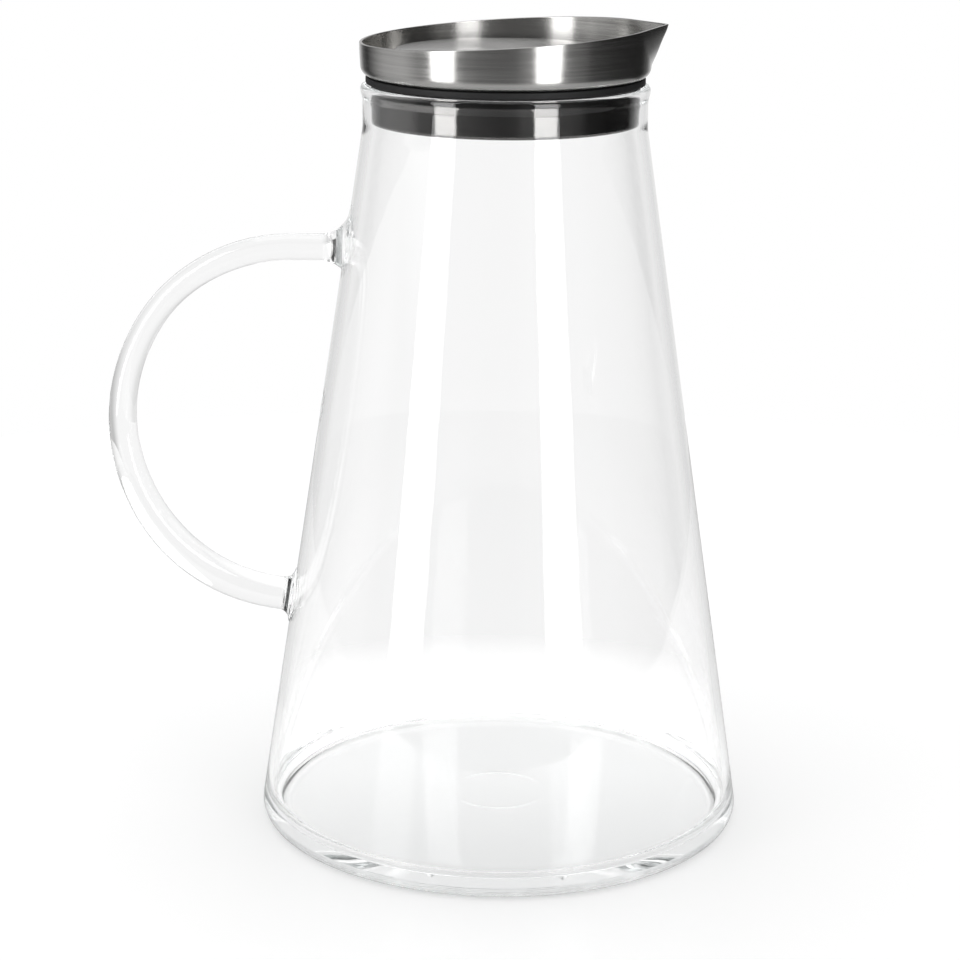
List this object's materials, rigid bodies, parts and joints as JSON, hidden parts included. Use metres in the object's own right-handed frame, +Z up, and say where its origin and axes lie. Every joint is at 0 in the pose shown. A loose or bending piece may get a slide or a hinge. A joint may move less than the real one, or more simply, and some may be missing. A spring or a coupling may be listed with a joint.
{
  "type": "glass pitcher with lid",
  "caption": "Tapered clear glass jug with a looped glass rod handle and a push-in steel lid: a lipped pouring dish over a tilting flap, sealed on the glass rim by a black silicone ring.",
  "frame": {"origin": "centre of the flat base, on the surface that the pitcher stands on", "axes": "+Z up along the jug's axis, the handle towards -X, the pouring lip towards +X"},
  "size_m": [0.1917, 0.1468, 0.2415],
  "materials": {
    "borosilicate_glass": "clear, fire-polished",
    "brushed_steel": "circular brushed stainless steel",
    "turned_steel": "fine turned stainless steel",
    "black_silicone": "matte moulded silicone",
    "black_polypropylene": "matte moulded polypropylene"
  },
  "bodies": {
    "pitcher": {"glass_body": "borosilicate_glass", "handle": "borosilicate_glass"},
    "seal": {"rim_seal": "black_silicone"},
    "lid": {"pour_dish": "brushed_steel", "dish_washer": "black_silicone", "seal_spacer": "black_polypropylene", "neck_sleeve": "turned_steel", "clamp_nut": "black_polypropylene", "valve_seat": "black_polypropylene", "hinge_pin": "turned_steel"},
    "flap": {"flap_plate": "brushed_steel", "flap_carrier": "black_polypropylene", "flap_gasket": "black_silicone"}
  },
  "joints": [
    {"name": "lid_lift", "type": "slide", "parent": "pitcher", "child": "seal", "axis": [0, 0, 1], "range_m": [0, 0.06]},
    {"name": "lid_turn", "type": "hinge", "parent": "seal", "child": "lid", "pos_m": [0, 0, 0.2265], "axis": [0, 0, 1], "continuous": true},
    {"name": "flap_tilt", "type": "hinge", "parent": "lid", "child": "flap", "pos_m": [-0.0275, 0, 0.23095], "axis": [0, -1, 0], "range_deg": [0, 55]}
  ]
}
